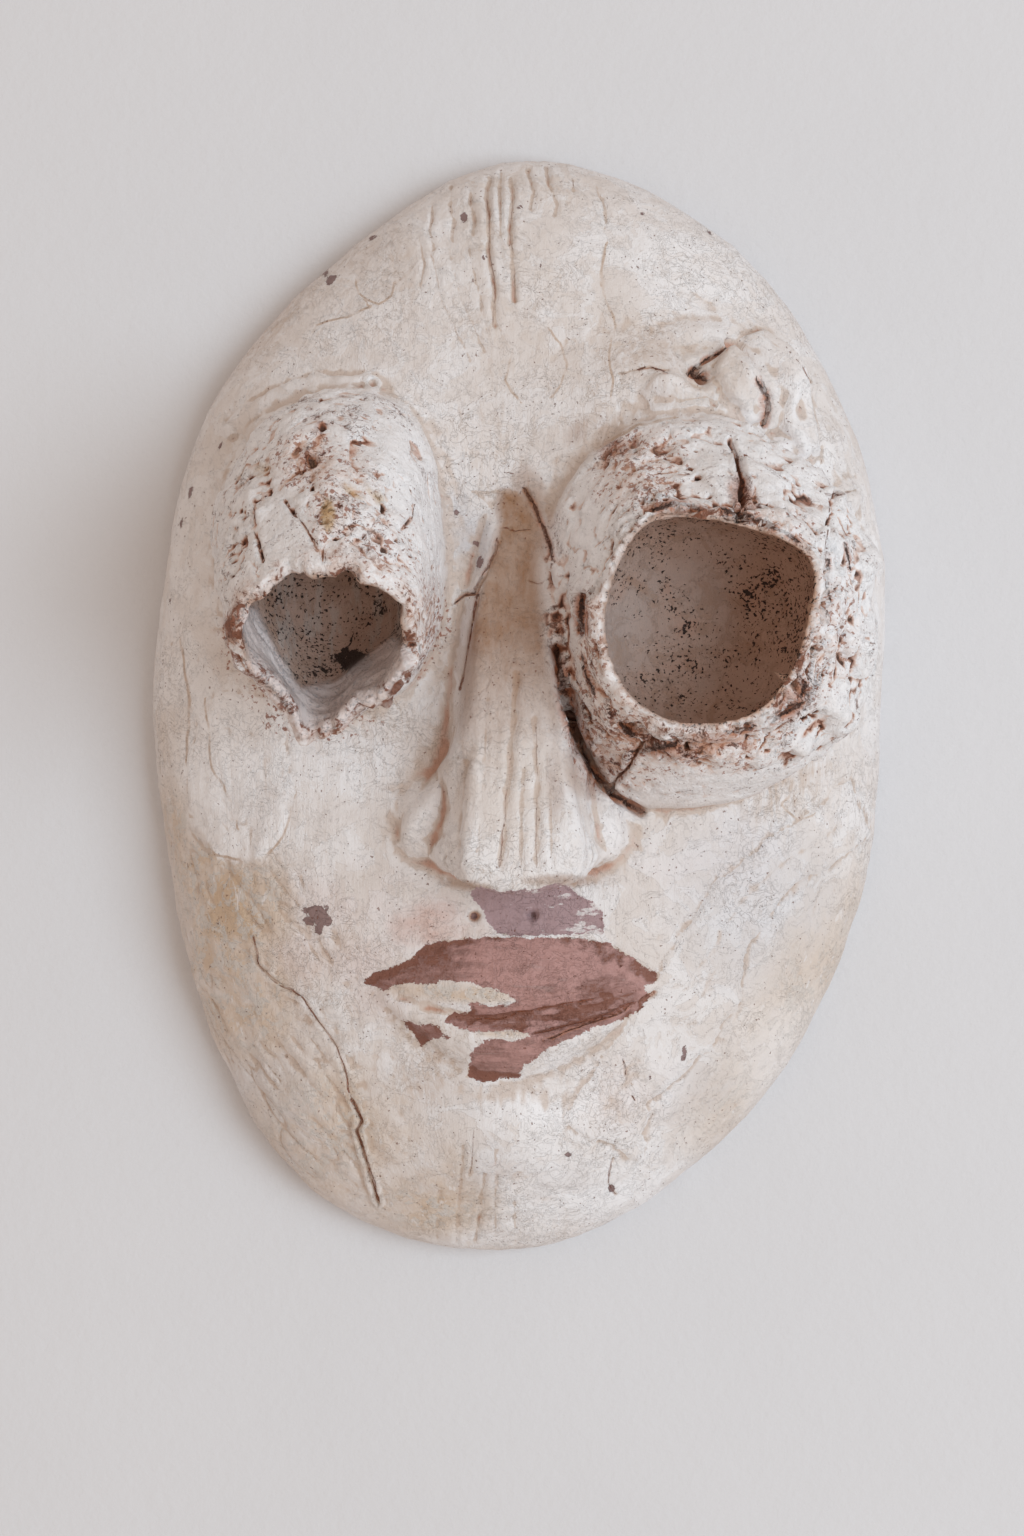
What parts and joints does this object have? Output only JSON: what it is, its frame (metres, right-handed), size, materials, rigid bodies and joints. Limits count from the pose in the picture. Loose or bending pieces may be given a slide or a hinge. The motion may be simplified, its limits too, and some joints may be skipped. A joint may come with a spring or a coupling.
{
  "type": "plaster mask",
  "caption": "Oval hollow-backed plaster face mask with tubular hollow eyes, a long fluted nose and full lips, lying on its flat back rim.",
  "frame": {"origin": "bottom centre of the mask's bounding box, in the plane of its flat back rim", "axes": "+Z out of the face, +Y from the chin to the forehead, +X to the viewer's right"},
  "size_m": [0.2014, 0.2996, 0.1061],
  "materials": {
    "plaster": "matte painted plaster"
  },
  "bodies": {
    "root": {"mask": "plaster"}
  },
  "joints": []
}
